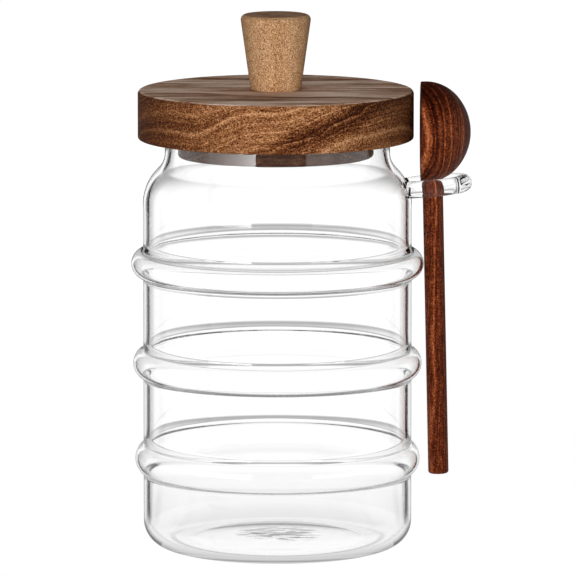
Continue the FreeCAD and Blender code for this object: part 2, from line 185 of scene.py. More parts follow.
# %% [markdown]
# ## The camera
#
# A long lens from two and a half metres away, looking down a little over eight degrees, keeps
# the jar's sides parallel and shows just a sliver of the lid's top.  Light crosses many glass
# surfaces on its way, so it may bounce more often than usual: cut short, it leaves black arcs.

# %% Camera
LENS_ANGLE = math.radians(4.725)
CAMERA_DISTANCE = 2600 * MM
CAMERA_PITCH = math.radians(8.24)
LOOK_AT = Vector((3.937, 0.0, 96.8)) * MM
BOUNCES = 32
GLOSSY_BOUNCES = 16

camera = bpy.data.objects.new("camera", bpy.data.cameras.new("camera"))
camera.data.angle = LENS_ANGLE
camera.data.clip_end = 100.0
back = Vector((0.0, -math.cos(CAMERA_PITCH), math.sin(CAMERA_PITCH)))
camera.location = LOOK_AT + CAMERA_DISTANCE * back
camera.rotation_euler = (math.pi / 2 - CAMERA_PITCH, 0.0, 0.0)
bpy.context.scene.collection.objects.link(camera)
bpy.context.scene.camera = camera
bpy.context.scene.view_settings.view_transform = "Standard"
bpy.context.scene.cycles.max_bounces = BOUNCES
bpy.context.scene.cycles.glossy_bounces = GLOSSY_BOUNCES
bpy.context.scene.cycles.transmission_bounces = BOUNCES
print("camera at, m:", [round(value, 4) for value in camera.location])

# %% [markdown]
# ## The studio
#
# Clear glass has no colour to light: it is drawn by what it bends into view.  In a studio it
# stands before something white, with narrow black strips at the edges of that white, so that
# each edge of the glass, which bends or mirrors light far off its way, picks one up and turns
# into a thin dark line.  Here the floor and the world are white for the camera.  Rays that
# glass or gloss has turned find other tones instead.  Bearings run from 0, the way the camera
# looks, to 180, back towards it.  `PANEL` is what a first mirroring sees round the room, with
# one very bright window beyond the camera and to its left; `STRIPS` is what is seen mirrored
# inside the near wall, the same on both sides.
#
# These tones were chosen by measure for the front view.  They belong to the room and not
# to the glass, so another room, or an exported model, does not have them.

# %% The room as glass sees it
STRAIGHT_ON = 1.13
CLOSE_TONE = 0.50
PANEL_MOST = 14.0
PANEL = [
    (-180.0, 0.10), (-158.6, 0.10), (-157.6, 13.0), (-148.0, 9.50), (-130.0, 5.00), (-100.0, 0.80),
    (-60.0, 0.60), (-36.0, 0.10), (-25.0, 0.10), (-22.5, 1.00), (-18.5, 1.00), (-16.0, 0.05),
    (16.0, 0.05), (18.5, 1.00), (22.5, 1.00), (25.0, 0.30), (36.0, 0.30), (60.0, 0.60),
    (105.0, 1.20), (150.0, 2.40), (152.0, 0.10), (180.0, 0.10),
]
STRIPS = [
    (0.0, 1.0), (21.0, 1.0), (23.2, 0.0), (42.0, 0.0), (46.0, 0.9), (54.0, 0.9), (57.0, 0.4),
    (66.0, 0.4), (69.0, 0.9), (110.0, 0.9), (114.0, 0.4), (123.0, 0.4), (126.0, 0.7),
    (144.0, 0.0), (156.0, 0.0), (159.0, 0.3), (180.0, 0.3),
]


def tone_ramp(graph, bearing, pairs, most, whole):
    """The tone at a bearing, from pairs of bearing and tone, as a ramp from 0 to the most."""
    stops = [(turn / whole, (tone / most,) * 3) for turn, tone in pairs]
    return graph.node("ShaderNodeValToRGB", {"stops": stops}, {"Fac": bearing / whole}) * most


class Sight:
    """What kind of ray is looking, and what tone it is to find at its end.

    Through is for rays that were only bent, back_wall for those mirrored beyond the front
    wall.  The shares are 1 where the panel and the strips stand, 0 on the floor by the jar.
    Window is 1 where the panel shows its full brightness, and 0 where it is held to white.
    Wall is how far out to each side the strips' bearings are measured from."""

    def __init__(self, graph, x, y, through, back_wall, panel_share=1.0, strip_share=1.0,
                 near=1.0, window=0.0, wall=0.0):
        path = graph.node("ShaderNodeLightPath", {}, {}, "Is Camera Ray")
        given = path.socket.node.outputs
        self.camera = path
        self.bent = Wire(graph, given["Is Glossy Ray"]).over(Wire(graph, given["Is Transmission Ray"]))
        mirrored = Wire(graph, given["Glossy Depth"]).at_least(1)
        entered = Wire(graph, given["Transmission Depth"]).at_least(1)
        crossed = Wire(graph, given["Transmission Depth"]).at_least(3)
        bearing = x.apply("ARCTAN2", x, y) * (180 / math.pi)
        beyond = (x.apply("ABSOLUTE", x) - wall).over(0.0)
        aside = x.apply("ARCTAN2", beyond, y) * (180 / math.pi)
        panel = tone_ramp(graph, bearing + 180.0, [(turn + 180, tone) for turn, tone in PANEL],
                          PANEL_MOST, 360.0)
        panel = window * panel + (1.0 - window) * panel.apply("MINIMUM", panel, 1.0)
        strips = tone_ramp(graph, aside, STRIPS, 1.0, 180.0)
        flagged = strip_share * strips + (1.0 - strip_share) * near
        inside = crossed * back_wall + (1.0 - crossed) * flagged
        outside = panel_share * panel + (1.0 - panel_share) * CLOSE_TONE
        reflected = entered * inside + (1.0 - entered) * outside
        self.tone = (1.0 - mirrored) * through + mirrored * reflected
        self.mirrored = mirrored
        self.crossed = crossed


print("room:", len(PANEL) + len(STRIPS), "bearings")

# %% [markdown]
# ## World and floor
#
# The world gives a little plain light, and most of it from the front and the back.  Turned
# rays find its tones by height: grey at the skyline, white above.  The floor is a pale matt
# disc that also glows for the camera, so that it looks white and still takes a shadow.  Seen
# through the glass it has a darker ring where the foot stands and a soft grey dip round it:
# a painted contact shadow, because the glass itself throws no shadow.

# %% World and floor
WORLD_LIGHT = 0.14
SIDE_LIGHT = 0.03
HIGH_FROM = 0.15
HIGH_TO = 0.50
HIGH_TONE = 0.10
FLOOR_RADIUS = 12.0
FLOOR_TONE = 0.20
FLOOR_NEAR = 0.30
FLOOR_FAR = 0.90
GLOW_NEAR = 0.93
GLOW_FAR = 1.0
STRIP_NEAR = 0.055
STRIP_FAR = 0.11
PANEL_NEAR = 0.96
PANEL_FAR = 1.00
GREY_FROM = 0.75
GREY_TO = 0.05
SKYLINE = [(0.0, 0.45), (0.03, 0.50), (0.10, 0.85), (0.20, 1.05), (0.60, 1.0)]
BACK_WALL = 0.97
BACK_WALL_HIGH = 0.40
BACK_WALL_LOW = 0.40
DULL_FROM = 0.35
DULL_TO = 0.70
WINDOW_WHOLE = 0.30
WINDOW_TOP = 0.50
WALL_NEAR = 0.07
WALL_FAR = 0.11
BEHIND_FROM = 0.04
# Painted shadow inside the foot ring for mirrored rays: the floor's tone is multiplied by the share
# inside the first radius.
FOOT_DARK = 0.041
FOOT_PALE = 0.052
PAINTED_FOOT_SHADOW_SHARE = 0.70
SIDE_WALL = 0.048
REACH = 250.0 * MM
FLOOR_SIDES = 96
# Painted shadow on the floor as the glass shows it: a dark contact ring at the foot and a soft dip
# round it.
UNDERFOOT_PAINTED_SHADOW = [
    (0.0, 1.05), (38.5 * MM, 1.05), (39.3 * MM, 0.35), (40.5 * MM, 0.35), (41.5 * MM, 0.92),
    (60.0 * MM, 0.98), (110.0 * MM, 1.05), (240.0 * MM, 1.13),
]
# Painted shadow behind the foot: a soft grey dip.
BEHIND_PAINTED_SHADOW = [
    (0.0, 1.05), (40.0 * MM, 1.00), (50.0 * MM, 0.90), (70.0 * MM, 0.95), (120.0 * MM, 1.02),
    (240.0 * MM, 1.13),
]


def build_world():
    world = bpy.data.worlds.new("studio")
    bpy.context.scene.world = world
    world.use_nodes = True
    graph = Graph(world.node_tree)
    for node in list(world.node_tree.nodes):
        world.node_tree.nodes.remove(node)
    x, y, z = graph.parts(graph.node("ShaderNodeTexCoord", {}, {}, "Generated"))
    through = tone_ramp(graph, z, SKYLINE, STRAIGHT_ON, 1.0)
    sight = Sight(graph, x, y, through, z.fade(DULL_FROM, DULL_TO, BACK_WALL, BACK_WALL_HIGH),
                  window=z.fade(WINDOW_WHOLE, WINDOW_TOP, 1.0, 0.0))
    dim = sight.mirrored * (1.0 - sight.crossed)
    high = 1.0 - dim * z.fade(HIGH_FROM, HIGH_TO, 0.0, 1.0 - HIGH_TONE)
    level = (x * x + y * y).root()
    front_on = (y / level) * (y / level)
    soft = front_on * (WORLD_LIGHT - SIDE_LIGHT) + SIDE_LIGHT
    seen = sight.bent * sight.tone * high + (1.0 - sight.bent) * soft
    shader = graph.node("ShaderNodeBackground", {}, {
        "Color": sight.camera + (1.0 - sight.camera) * seen, "Strength": 1.0})
    graph.node("ShaderNodeOutputWorld", {}, {"Surface": shader})


def build_floor():
    mesh = bpy.data.meshes.new("floor")
    work = bmesh.new()
    bmesh.ops.create_circle(work, cap_ends=True, radius=FLOOR_RADIUS, segments=FLOOR_SIDES)
    work.to_mesh(mesh)
    work.free()
    floor = bpy.data.objects.new("floor", mesh)
    bpy.context.scene.collection.objects.link(floor)
    material, graph = material_graph("pale floor")
    x, y, _ = graph.parts(graph.node("ShaderNodeTexCoord", {}, {}, "Object"))
    away = (x * x + y * y).root()
    behind = y.fade(-BEHIND_FROM, BEHIND_FROM)
    # The floor seen through the glass carries the painted shadow round the foot.
    floor_with_painted_shadow = (tone_ramp(graph, away, UNDERFOOT_PAINTED_SHADOW, STRAIGHT_ON, REACH) * (1.0 - behind)
                 + tone_ramp(graph, away, BEHIND_PAINTED_SHADOW, STRAIGHT_ON, REACH) * behind)
    slope = 1.0 / away
    through = floor_with_painted_shadow - slope.fade(GREY_TO, GREY_FROM, STRAIGHT_ON - SKYLINE[0][1], 0.0)
    sight = Sight(graph, x, y, through, away.fade(WALL_NEAR, WALL_FAR, BACK_WALL_LOW, BACK_WALL),
                  away.fade(PANEL_NEAR, PANEL_FAR), away.fade(STRIP_NEAR, STRIP_FAR),
                  floor_with_painted_shadow * away.fade(FOOT_DARK, FOOT_PALE, PAINTED_FOOT_SHADOW_SHARE, 1.0),
                  away.fade(PANEL_NEAR, PANEL_FAR), SIDE_WALL)
    glow_share = sight.camera * away.fade(FLOOR_NEAR, FLOOR_FAR, GLOW_NEAR, GLOW_FAR)
    paper = graph.node("ShaderNodeBsdfDiffuse", {}, {"Color": (*[FLOOR_TONE] * 3, 1.0)})
    glow = graph.node("ShaderNodeEmission", {}, {"Color": glow_share, "Strength": 1.0})
    plain = graph.node("ShaderNodeAddShader", {}, {0: paper, 1: glow})
    white = graph.node("ShaderNodeEmission", {}, {"Color": sight.tone, "Strength": 1.0})
    both = graph.node("ShaderNodeMixShader", {}, {0: sight.bent, 1: plain, 2: white})
    graph.node("ShaderNodeOutputMaterial", {}, {"Surface": both})
    floor.data.materials.append(material)
    return floor


build_world()
floor = build_floor()
print("floor radius", FLOOR_RADIUS, "m")

# %% [markdown]
# ## Soft boxes
#
# Three soft boxes light the wood: a key and a weaker fill from the front, and one from behind
# and above for the lid's top.  Glass and gloss do not see them, so they leave no square
# highlights: what those see is the room above.

# %% Soft boxes
LAMPS = [
    ("key", -9, 9, 1.3, 0.30, 0.45, 24.0),
    ("fill", 10, 5, 1.3, 0.30, 0.45, 7.0),
    ("back", 180, 50, 1.3, 0.7, 0.6, 2.6),
]


def add_lamp(name, azimuth, elevation, distance, width, height, radiance):
    """A soft box that faces the jar.  Azimuth 0 is the front, positive to the right."""
    data = bpy.data.lights.new(name, "AREA")
    data.shape = "RECTANGLE"
    data.size = width
    data.size_y = height
    data.energy = radiance * width * height * math.pi
    lamp = bpy.data.objects.new(name, data)
    turn, rise = math.radians(azimuth), math.radians(elevation)
    away = Vector((math.sin(turn) * math.cos(rise), -math.cos(turn) * math.cos(rise), math.sin(rise)))
    lamp.location = LOOK_AT + away * distance
    lamp.rotation_euler = away.to_track_quat("Z", "Y").to_euler()
    lamp.visible_camera = False
    lamp.visible_glossy = False
    lamp.visible_transmission = False
    bpy.context.scene.collection.objects.link(lamp)
    return lamp


for lamp_row in LAMPS:
    add_lamp(*lamp_row)
print("soft boxes:", len(LAMPS))

# %% [markdown]
# ## The glass wall
#
# A blower turns the jar in a mould, so every height is a circle and the whole wall is one
# outline carried round an axis.  The outline is a chain of arcs and straight runs, and the
# inside is the same chain a wall's thickness further in.  The carrying round is a rule, so
# Geometry Nodes do it: a grid whose rows are turned about the axis, with a slight unevenness
# that hand-blown glass always has.
#
# The outside is that of the construction model.  The inside is not quite: the wall is 2.15
# millimetres and not 2.0, the ripples' crests are thinner, and above each ripple the inside
# runs out softly.  `RUN_OUT` holds longer run-outs for the back of the jar.  They were chosen
# for how they look from the front, because they draw the far ripples as soft arcs.

# %% Sizes of the glass
WALL = 2.15 * MM
FLOOR_THICKNESS = 2.4 * MM
FOOT_ROUND = 9.7 * MM
PUSH_UP = 1.6 * MM
PUSH_UP_RADIUS = 33.0 * MM
BODY_RADIUS = 50.0 * MM
RIM_ROUND = 0.95 * MM
NECK_RADIUS = 41.8 * MM
NECK_ROUND = 8.5 * MM
SHOULDER_ROUND = 18.0 * MM
SHOULDER_START = 128.6 * MM
RIPPLE_HALF = 6.9 * MM
INNER_LOW = 2.2 * MM
INNER_HIGH = 4.0 * MM
CREST_WALL = 1.1 * MM
RIPPLE_ROUND = 2.4 * MM
RIPPLES = [(33.0 * MM, 3.1 * MM), (68.9 * MM, 3.8 * MM), (106.3 * MM, 4.45 * MM)]
RUN_OUT = [16.0 * MM, 10.0 * MM, 7.0 * MM]
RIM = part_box("glass_jar")[1].z


def arc(across, up, radius, turn_from, turn_to, steps):
    """Points along an arc in the outline's plane: distance from the axis, and height."""
    turns = np.radians(np.linspace(turn_from, turn_to, steps + 1))
    return [(across + radius * math.cos(turn), up + radius * math.sin(turn)) for turn in turns]


def straight(start, end, steps):
    """Points along a straight run, both ends left out."""
    shares = [step / steps for step in range(1, steps)]
    return [(start[0] + share * (end[0] - start[0]), start[1] + share * (end[1] - start[1]))
            for share in shares]


def ripple(middle, swell, inset, run_out):
    """One ripple: a hollow round, the crest and another hollow round.

    The crest is blown thinnest, and the inside runs out more softly above than below."""
    rounds = (swell ** 2 + RIPPLE_HALF ** 2) / (2 * swell)
    bulge = rounds - RIPPLE_ROUND
    core = BODY_RADIUS + swell - bulge
    line = BODY_RADIUS - inset
    low_hollow = INNER_LOW if inset else RIPPLE_ROUND
    high_hollow = run_out if inset else RIPPLE_ROUND
    crest = bulge - (CREST_WALL if inset else 0.0)
    low_side, high_side = line + low_hollow - core, line + high_hollow - core
    low_up = math.sqrt((crest + low_hollow) ** 2 - low_side ** 2)
    high_up = math.sqrt((crest + high_hollow) ** 2 - high_side ** 2)
    low_turn = math.degrees(math.atan2(low_up, low_side))
    high_turn = math.degrees(math.atan2(high_up, high_side))
    return (arc(line + low_hollow, middle - low_up, low_hollow, 180, 180 - low_turn, 12)
            + arc(core, middle, crest, -low_turn, high_turn, 28)[1:]
            + arc(line + high_hollow, middle + high_up, high_hollow, 180 + high_turn, 180, 12)[1:])


def dome(base):
    """The pushed-up middle of the foot, from the axis to its ring."""
    crown = (PUSH_UP_RADIUS ** 2 + PUSH_UP ** 2) / (2 * PUSH_UP)
    spread = math.degrees(math.asin(PUSH_UP_RADIUS / crown))
    return arc(0.0, base + PUSH_UP - crown, crown, 90, 90 - spread, 26)


def outline(inset, base, run_outs=(INNER_HIGH,) * 3):
    """Foot to neck: the outside with no inset, the inside with the wall as inset."""
    chain = dome(base)
    corner = FOOT_ROUND - inset
    chain += arc(BODY_RADIUS - FOOT_ROUND, base + corner, corner, -90, 0, 14)
    for (middle, swell), run_out in zip(RIPPLES, run_outs):
        step = ripple(middle, swell, inset, run_out)
        chain += straight(chain[-1], step[0], 6) + step
    inward = BODY_RADIUS - NECK_RADIUS
    rounds = SHOULDER_ROUND + NECK_ROUND
    rise = math.sqrt(rounds ** 2 - (rounds - inward) ** 2)
    turn = math.degrees(math.atan2(rise, rounds - inward))
    bend = arc(BODY_RADIUS - SHOULDER_ROUND, SHOULDER_START, SHOULDER_ROUND - inset, 0, turn, 20)
    throat = arc(NECK_RADIUS + NECK_ROUND, SHOULDER_START + rise, NECK_ROUND + inset,
                 180 + turn, 180, 14)
    return chain + straight(chain[-1], bend[0], 6) + bend + throat[1:]


print("outside outline has", len(outline(0.0, 0.0)), "points")

# %% [markdown]
# ## Turning the outline with Geometry Nodes
#
# The outline comes in as a chain of points.  The tree makes a grid with one column for each
# of them, reads the column's point, and turns it about the axis by its row.  A little noise
# moves each point in or out by a few hundredths of a millimetre, and a coarser one stirs the
# middle of the foot.  It takes two outlines, one for the front and one for the back, and
# passes softly from one to the other round the sides.

# %% The lathe
ROUND_STEPS = 176
UNEVEN = 0.05 * MM
UNEVEN_SIZE = 28.0 * MM
SWIRL = 2.6 * MM
SWIRL_SIZE = 5.0 * MM
SWIRL_FROM = 5.0 * MM
SWIRL_TO = 17.0 * MM
ROUND_OFF = 1e-4
WELD = 1e-6
TURN_OVER = 0.9


def lathe_tree():
    tree = bpy.data.node_groups.new("lathe", "GeometryNodeTree")
    for name, kind in (("Outline", "NodeSocketGeometry"), ("Points", "NodeSocketInt"),
                       ("Steps", "NodeSocketInt"), ("Unevenness", "NodeSocketFloat"),
                       ("Size", "NodeSocketFloat"), ("Swirl", "NodeSocketFloat"),
                       ("Material", "NodeSocketMaterial")):
        tree.interface.new_socket(name, in_out="INPUT", socket_type=kind)
    tree.interface.new_socket("Wall", in_out="OUTPUT", socket_type="NodeSocketGeometry")
    graph = Graph(tree)
    given = tree.nodes.new("NodeGroupInput").outputs
    points = Wire(graph, given["Points"])
    steps = Wire(graph, given["Steps"])
    grid = graph.node("GeometryNodeMeshGrid", {}, {"Size X": 1.0, "Size Y": 1.0,
                                                   "Vertices X": steps + 1, "Vertices Y": points})
    index = graph.node("GeometryNodeInputIndex")
    row = (index / points).apply("FLOOR", index / points + ROUND_OFF)
    column = index - row * points
    place = graph.node("GeometryNodeInputPosition")
    angle = row * (2 * math.pi) / steps
    across, along = angle.apply("COSINE", angle), angle.apply("SINE", angle)
    front, behind = [
        graph.node("GeometryNodeSampleIndex", {"data_type": "FLOAT_VECTOR"},
                   {"Geometry": Wire(graph, given["Outline"]), "Value": place, "Index": column + start})
        for start in (0.5, points + 0.5)]
    turned = graph.node("ShaderNodeMix", {"data_type": "VECTOR"},
                        {0: along.fade(-TURN_OVER, TURN_OVER), 4: front, 5: behind}, 1)
    out, _, up = graph.parts(turned)
    spot = graph.vector(out * across, out * along, up)
    swing = graph.noise(spot, 1.0 / Wire(graph, given["Size"]), 1.0) - 0.5
    pushed = out + swing * Wire(graph, given["Unevenness"]) * 2.0 * out / BODY_RADIUS
    flow = graph.vector(out * across * 0.5, out * along, 0.0)
    knot = graph.noise(flow, 1.0 / SWIRL_SIZE, 1.0) - 0.5
    lift = knot * Wire(graph, given["Swirl"]) * out.fade(SWIRL_FROM, SWIRL_TO, 1.0, 0.0)
    moved = graph.node("GeometryNodeSetPosition", {}, {
        "Geometry": grid, "Position": graph.vector(pushed * across, pushed * along, up + lift)})
    welded = graph.node("GeometryNodeMergeByDistance", {}, {"Geometry": moved, "Distance": WELD})
    real = graph.node("GeometryNodeRealizeInstances", {}, {"Geometry": welded})
    dressed = graph.node("GeometryNodeSetMaterial", {}, {
        "Geometry": real, "Material": Wire(graph, given["Material"])})
    graph.node("NodeGroupOutput", {}, {"Wall": dressed})
    return tree


def mesh_object(name, mesh):
    made = bpy.data.objects.new(name, mesh)
    bpy.context.scene.collection.objects.link(made)
    return made


def settle(made):
    """Replaces an object's modifiers by the plain mesh that they make."""
    evaluated = made.evaluated_get(bpy.context.evaluated_depsgraph_get())
    mesh = bpy.data.meshes.new_from_object(evaluated)
    made.modifiers.clear()
    made.data = mesh
    return made


def run_tree(made, tree, values):
    """Puts a tree on an object with its inputs set, and turns the result into a plain mesh."""
    worker = made.modifiers.new(tree.name, "NODES")
    worker.node_group = tree
    for item in tree.interface.items_tree:
        if item.in_out == "INPUT" and item.name in values:
            worker[item.identifier] = values[item.name]
    return settle(made)


def face_out(mesh):
    """Turns a closed mesh's faces outwards."""
    work = bmesh.new()
    work.from_mesh(mesh)
    bmesh.ops.remove_doubles(work, verts=work.verts, dist=1e-7)
    bmesh.ops.recalc_face_normals(work, faces=work.faces)
    if work.calc_volume(signed=True) < 0:
        bmesh.ops.reverse_faces(work, faces=work.faces)
    work.to_mesh(mesh)
    work.free()


def lathe(name, chain, behind, tree, material, swirl=0.0):
    """Turns two outlines of equal length: one for the front, one for the back."""
    mesh = bpy.data.meshes.new(name)
    mesh.from_pydata([(out, 0.0, up) for out, up in chain + behind], [], [])
    made = run_tree(mesh_object(name, mesh), tree, {
        "Points": len(chain), "Steps": ROUND_STEPS, "Unevenness": UNEVEN, "Size": UNEVEN_SIZE,
        "Swirl": swirl, "Material": material})
    face_out(made.data)
    return made


# %% [markdown]
# ## The loop
#
# The loop is a glass rod bent round a former: a tight bend at its far end and two long, wide
# ones that run back to the jar.  A circle is carried along that path, and the rod is then
# melted into the shoulder.  A join like that is made in the order the solids suggest: the
# full outside and the rod become one, and the hollow is taken from both.

# %% Sizes of the loop
LOOP_ROD = 6.4 * MM
LOOP_END = 69.1 * MM
LOOP_HEIGHT = 136.35 * MM
LOOP_TILT = math.radians(5.5)
LOOP_HALF_WIDTH = 8.4 * MM
LOOP_END_ROUND = 7.4 * MM
LOOP_BELLY = 11.7 * MM
LOOP_LENGTH = 22.4 * MM


def loop_path():
    """Half of the loop's centre line from its far end to the wall, then its mirror image."""
    behind = LOOP_BELLY - LOOP_END_ROUND
    squares = LOOP_HALF_WIDTH ** 2 + behind ** 2 - LOOP_END_ROUND ** 2
    side_round = squares / (2 * (LOOP_HALF_WIDTH - LOOP_END_ROUND))
    turn = math.degrees(math.atan2(side_round - LOOP_HALF_WIDTH, behind))
    close = math.degrees(math.acos((LOOP_BELLY - LOOP_LENGTH) / side_round))
    half = arc(-LOOP_END_ROUND, 0.0, LOOP_END_ROUND, 0, turn, 16)
    half += arc(-LOOP_BELLY, LOOP_HALF_WIDTH - side_round, side_round, turn, close, 12)[1:]
    flat = [(x, -y) for x, y in reversed(half)] + half[1:]
    return [(LOOP_END + x * math.cos(LOOP_TILT), y, LOOP_HEIGHT + x * math.sin(LOOP_TILT))
            for x, y in flat]


def build_rod(material):
    curve = bpy.data.curves.new("rod", "CURVE")
    curve.dimensions = "3D"
    spline = curve.splines.new("POLY")
    path = loop_path()
    spline.points.add(len(path) - 1)
    for point, place in zip(spline.points, path):
        point.co = (*place, 1.0)
    curve.bevel_depth = LOOP_ROD / 2
    curve.bevel_resolution = 12
    curve.use_fill_caps = True
    made = bpy.data.objects.new("rod", curve)
    bpy.context.scene.collection.objects.link(made)
    mesh = bpy.data.meshes.new_from_object(made.evaluated_get(bpy.context.evaluated_depsgraph_get()))
    bpy.data.objects.remove(made)
    rod = mesh_object("rod", mesh)
    rod.data.materials.clear()
    rod.data.materials.append(material)
    face_out(rod.data)
    return rod


def join_solids(first, second, operation):
    """Union or difference of two closed meshes; the second is used up."""
    tool = first.modifiers.new(operation, "BOOLEAN")
    tool.operation = operation
    tool.solver = "EXACT"
    tool.object = second
    settle(first)
    bpy.data.objects.remove(second)


# %% [markdown]
# ## Clear glass
#
# Borosilicate glass is colourless and bends light a little less than window glass.  One
# Principled shader with full transmission draws it.  A Fresnel mask darkens it where it is
# seen most aslant: painted dark edge lines, which real glass only shows where it mirrors and
# bends dark surroundings.  Real clear glass does not do that: the mask is a drawing aid that
# helps the edges to read as thin dark lines.

# %% Glass finish
GLASS_BEND = 1.47
WHITE = (1.0, 1.0, 1.0, 1.0)
TINT_FROM = 0.55
TINT_TO = 0.80
# Painted dark edges: the colour the glass turns where it is seen most aslant.
PAINTED_EDGE_DARK_COLOUR = (0.0, 0.0, 0.0, 1.0)


def clear_glass():
    material, graph = material_graph("clear glass")
    grazing = graph.node("ShaderNodeFresnel", {}, {"IOR": GLASS_BEND})
    # Painted dark edge lines: the glass darkens where it is seen most aslant.
    painted_edge_dark = graph.blend(grazing.fade(TINT_FROM, TINT_TO), WHITE, PAINTED_EDGE_DARK_COLOUR)
    shader = graph.node("ShaderNodeBsdfPrincipled", {}, {
        "Base Color": painted_edge_dark, "Roughness": 0.0, "IOR": GLASS_BEND, "Transmission Weight": 1.0})
    graph.node("ShaderNodeOutputMaterial", {}, {"Surface": shader})
    return material


# %% [markdown]
# ## Blowing the jar
#
# The full outside and the rod become one solid, and the hollow is taken from both.  The rim
# is rounded, and the hollow runs on past it so that the mouth is cut clean open.  The glass
# throws no shadow here: the renderer would draw it far darker than clear glass does.

# %% Blow the jar
LIP_STEPS = 8
PAST_RIM = 5 * MM
SHARP_FROM = math.radians(32)


def build_glass():
    material = clear_glass()
    tree = lathe_tree()
    lip = NECK_RADIUS - RIM_ROUND
    outside = outline(0.0, 0.0)
    outside += arc(lip, RIM - RIM_ROUND, RIM_ROUND, 0, 90, LIP_STEPS) + [(0.0, RIM)]
    inner_lip = NECK_RADIUS - WALL + RIM_ROUND
    above = RIM + PAST_RIM
    mouth = arc(inner_lip, RIM - RIM_ROUND, RIM_ROUND, 180, 90, LIP_STEPS)
    mouth += [(inner_lip, above), (0.0, above)]
    hollow = outline(WALL, FLOOR_THICKNESS) + mouth
    behind = outline(WALL, FLOOR_THICKNESS, RUN_OUT) + mouth
    jar = lathe("jar_glass", outside, outside, tree, material)
    join_solids(jar, build_rod(material), "UNION")
    join_solids(jar, lathe("hollow", hollow, behind, tree, material, SWIRL), "DIFFERENCE")
    mesh = jar.data
    mesh.materials.clear()
    mesh.materials.append(material)
    mesh.shade_smooth()
    mesh.set_sharp_from_angle(angle=SHARP_FROM)
    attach(jar, "root")
    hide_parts("glass_jar")
    jar.visible_shadow = False
    return jar


jar = build_glass()
print("glass:", sum(len(face.vertices) - 2 for face in jar.data.polygons), "triangles")

# %% [markdown]
# ## Wood
#
# Wood is a stack of growth layers cut by the turner's tool.  Each piece says how deep a point
# lies in that stack; a slow noise makes the layers wander, a noise along the depth gives each
# layer its tone, a long thin one gives the fibres and a fine one the pores that sparkle on
# oiled acacia.  One recipe serves every wooden piece: only the way the layers lie and the
# colours differ.  In the sums that follow, each factor says how strongly a pattern counts.

# %% Wood recipe
class Timber:
    """The sums behind a wooden surface; lengths are in millimetres from the piece's middle."""

    def __init__(self, name, node):
        low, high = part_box(node)
        self.node = node
        self.material, self.graph = material_graph(name)
        spot = self.graph.node("ShaderNodeTexCoord", {}, {}, "Object")
        spot = self.graph.node("ShaderNodeVectorMath", {"operation": "SUBTRACT"},
                               {0: spot, 1: (low + high) / 2})
        spot = self.graph.node("ShaderNodeMapping", {}, {"Vector": spot, "Scale": (1 / MM,) * 3})
        self.spot = spot
        self.x, self.y, self.z = self.graph.parts(spot)

    def grain(self, across, along_x=1.0, along_z=1.0, detail=2.0, rough=0.55):
        """Noise of a given fineness, stretched along x or z; its middle value is 0."""
        place = self.graph.vector(self.x * (across * along_x), self.y * across,
                                  self.z * (across * along_z))
        return self.graph.noise(place, 1.0, detail, rough) - 0.5

    def layers(self, depth, spacing, detail):
        """Noise along the depth in the stack of layers; its middle value is 0."""
        return self.graph.node(
            "ShaderNodeTexNoise", {"noise_dimensions": "1D"},
            {"W": depth / spacing, "Scale": 1.0, "Detail": detail, "Roughness": 0.6}) - 0.5

    def finish(self, colour, relief, rough, sheen, bump):
        graph = self.graph
        raised = graph.node("ShaderNodeBump", {}, {
            "Height": relief + 0.5, "Strength": bump, "Distance": 0.2 * MM})
        shader = graph.node("ShaderNodeBsdfPrincipled", {}, {
            "Base Color": colour, "Roughness": relief * 0.2 + rough, "IOR": 1.45,
            "Specular IOR Level": sheen, "Normal": raised})
        graph.node("ShaderNodeOutputMaterial", {}, {"Surface": shader})
        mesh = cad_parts[self.node].data
        mesh.materials.clear()
        mesh.materials.append(self.material)

    def ramp(self, tone, shades):
        stops = [(place, shade(colour)) for place, colour in shades]
        return self.graph.node("ShaderNodeValToRGB", {"stops": stops}, {"Fac": tone})


# %% [markdown]
# ## The lid
#
# The lid is a flat slice of acacia, so its layers dip in the middle and rise to both sides on
# the turned edge, and run as long soft streaks over the top.  A dark heart streak climbs
# through the right half.  The top is paler than the edge: partly a drier surface, partly a
# painted sheen of the light it mirrors at a grazing angle.  The edge's colour darkens a little
# towards both ends, more to the left: painted shade, where the round edge turns from the light.

# %% Lid finish
LID_SHADES = [(0.10, (46, 22, 12)), (0.32, (98, 56, 33)), (0.50, (146, 93, 58)),
              (0.68, (186, 132, 90)), (0.90, (226, 176, 130))]
# The top's shades are pale partly for its drier surface and partly as a painted sheen of the light it
# mirrors at a grazing angle.
DRY_TOP_AND_PAINTED_SHEEN_SHADES = [(0.25, (138, 98, 74)), (0.50, (206, 168, 142)), (0.72, (252, 226, 206))]
TOP_FROM = 0.6
TOP_WHOLE = 0.2
DIP_ASIDE = 18.0
DIP = 0.0085
STREAK_ASIDE = 18.0
STREAK_CLIMB = 0.42
# Painted shade on the edge: its colour darkens away from this point towards both ends.
END_SHADE_LEAST_AT = 6.0
PAINTED_END_SHADE_STRENGTH = 0.0001


